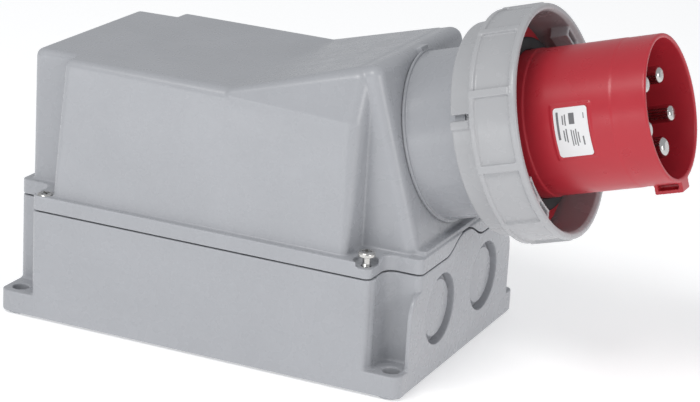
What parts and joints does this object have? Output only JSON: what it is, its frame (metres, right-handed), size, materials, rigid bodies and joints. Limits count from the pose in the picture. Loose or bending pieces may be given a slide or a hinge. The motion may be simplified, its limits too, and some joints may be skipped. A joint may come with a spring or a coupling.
{
  "type": "wall-mounted power inlet box",
  "caption": "Wall-mounting power inlet box: stepped grey base and cover with a tilted neck, a red shrouded male pin inlet and a ribbed bayonet locking ring.",
  "frame": {"origin": "under the middle of the whole length, at the height of the feet that rest on the wall", "axes": "+X towards the inlet end along the longest side, +Y across the box, +Z away from the wall; the inlet axis lies in the XZ plane and rises 16.2 degrees from +X"},
  "size_m": [0.3896, 0.176, 0.2162],
  "materials": {
    "housing_grey": "fine moulded satin, light neutral grey",
    "ring_grey": "fine moulded satin, light neutral grey",
    "inlet_red": "semi-gloss moulded signal red",
    "gasket_black": "matt black moulded rubber",
    "carrier_black": "matt black moulded plastic",
    "screw_steel": "bright stainless",
    "pin_nickel": "smooth nickel plate",
    "terminal_brass": "turned brass",
    "label_white": null
  },
  "bodies": {
    "base": {"base_box": "housing_grey", "base_seal": "gasket_black", "knockout_front": "housing_grey", "knockout_back": "housing_grey", "earth_bar": "terminal_brass", "earth_screw_1": "screw_steel", "earth_screw_2": "screw_steel", "earth_screw_3": "screw_steel"},
    "cover": {"cover": "housing_grey", "inlet_collar": "housing_grey", "collar_seal": "gasket_black", "collar_nut": "housing_grey", "inlet_shroud": "inlet_red", "shroud_gasket": "gasket_black", "rating_label": "label_white", "pin_floor": "inlet_red", "pin_carrier": "carrier_black", "flange_screw_1": "screw_steel", "flange_screw_2": "screw_steel", "flange_screw_3": "screw_steel", "flange_screw_4": "screw_steel", "earth_pin": "pin_nickel", "phase_pin_1": "pin_nickel", "phase_pin_2": "pin_nickel", "phase_pin_3": "pin_nickel", "neutral_pin": "pin_nickel", "pilot_pin": "pin_nickel", "terminal_1": "terminal_brass", "terminal_2": "terminal_brass", "terminal_3": "terminal_brass", "terminal_4": "terminal_brass", "terminal_5": "terminal_brass", "terminal_screw_1": "screw_steel", "terminal_screw_2": "screw_steel", "terminal_screw_3": "screw_steel", "terminal_screw_4": "screw_steel", "terminal_screw_5": "screw_steel"},
    "ring": {"bayonet_ring": "ring_grey"},
    "screw_1": {"cover_screw_1": "screw_steel"},
    "screw_2": {"cover_screw_2": "screw_steel"},
    "screw_3": {"cover_screw_3": "screw_steel"},
    "screw_4": {"cover_screw_4": "screw_steel"}
  },
  "joints": [
    {"name": "cover_lift", "type": "slide", "parent": "base", "child": "cover", "axis": [0, 0, 1], "range_m": [0, 0.08]},
    {"name": "ring_turn", "type": "hinge", "parent": "cover", "child": "ring", "pos_m": [0.11967, 0, 0.15232], "axis": [0.9603, 0, 0.279], "range_deg": [-45, 0]},
    {"name": "screw_1_undo", "type": "slide", "parent": "cover", "child": "screw_1", "axis": [0, 0, 1], "range_m": [-0.005, 0.005]},
    {"name": "screw_2_undo", "type": "slide", "parent": "cover", "child": "screw_2", "axis": [0, 0, 1], "range_m": [0, 0.01]},
    {"name": "screw_3_undo", "type": "slide", "parent": "cover", "child": "screw_3", "axis": [0, 0, 1], "range_m": [0, 0.01]},
    {"name": "screw_4_undo", "type": "slide", "parent": "cover", "child": "screw_4", "axis": [0, 0, 1], "range_m": [0, 0.01]}
  ]
}
